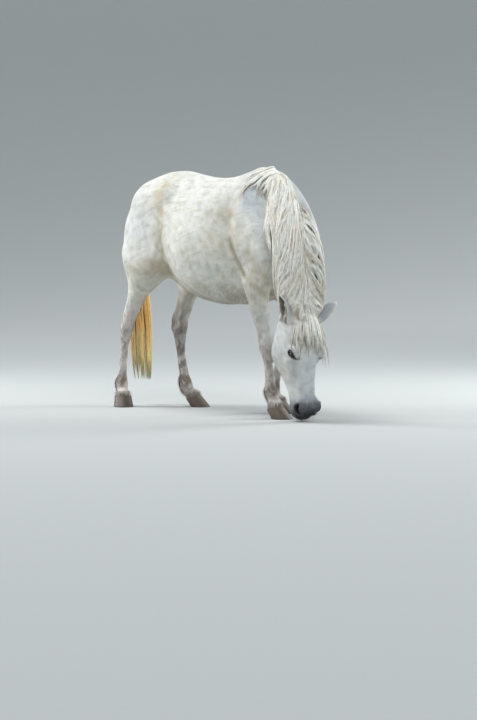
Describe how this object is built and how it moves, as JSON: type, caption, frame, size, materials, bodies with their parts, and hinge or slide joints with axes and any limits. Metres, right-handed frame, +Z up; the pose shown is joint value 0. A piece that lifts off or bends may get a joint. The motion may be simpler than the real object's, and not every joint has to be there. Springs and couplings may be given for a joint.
{
  "type": "horse",
  "caption": "Life-size grazing grey pony with its head down, a long mane parted to both sides and a full tail, standing on its hooves.",
  "frame": {"origin": "on the floor, under the middle of the model's outline seen from above", "axes": "+X forward, the way the trunk faces; +Y to the pony's left; +Z up"},
  "size_m": [1.7276, 0.6306, 1.3657],
  "materials": {
    "coat": "short off-white coat",
    "leg": "short grey coat",
    "hoof": "brown horn",
    "ear": "short blue-grey coat",
    "eye": "wet, dark",
    "mane": "long cream hair",
    "tail": "long stained hair"
  },
  "bodies": {
    "root": {"trunk": "coat", "neck": "coat", "head": "coat", "forearm_left": "leg", "cannon_fore_left": "leg", "pastern_fore_left": "leg", "hoof_fore_left": "hoof", "forearm_right": "leg", "cannon_fore_right": "leg", "pastern_fore_right": "leg", "hoof_fore_right": "hoof", "gaskin_left": "leg", "cannon_hind_left": "leg", "pastern_hind_left": "leg", "hoof_hind_left": "hoof", "gaskin_right": "leg", "cannon_hind_right": "leg", "pastern_hind_right": "leg", "hoof_hind_right": "hoof", "ear_left": "ear", "ear_right": "ear", "eye_left": "eye", "eye_right": "eye", "forelock": "mane", "mane_left": "mane", "mane_right": "mane", "tail": "tail"}
  },
  "joints": []
}
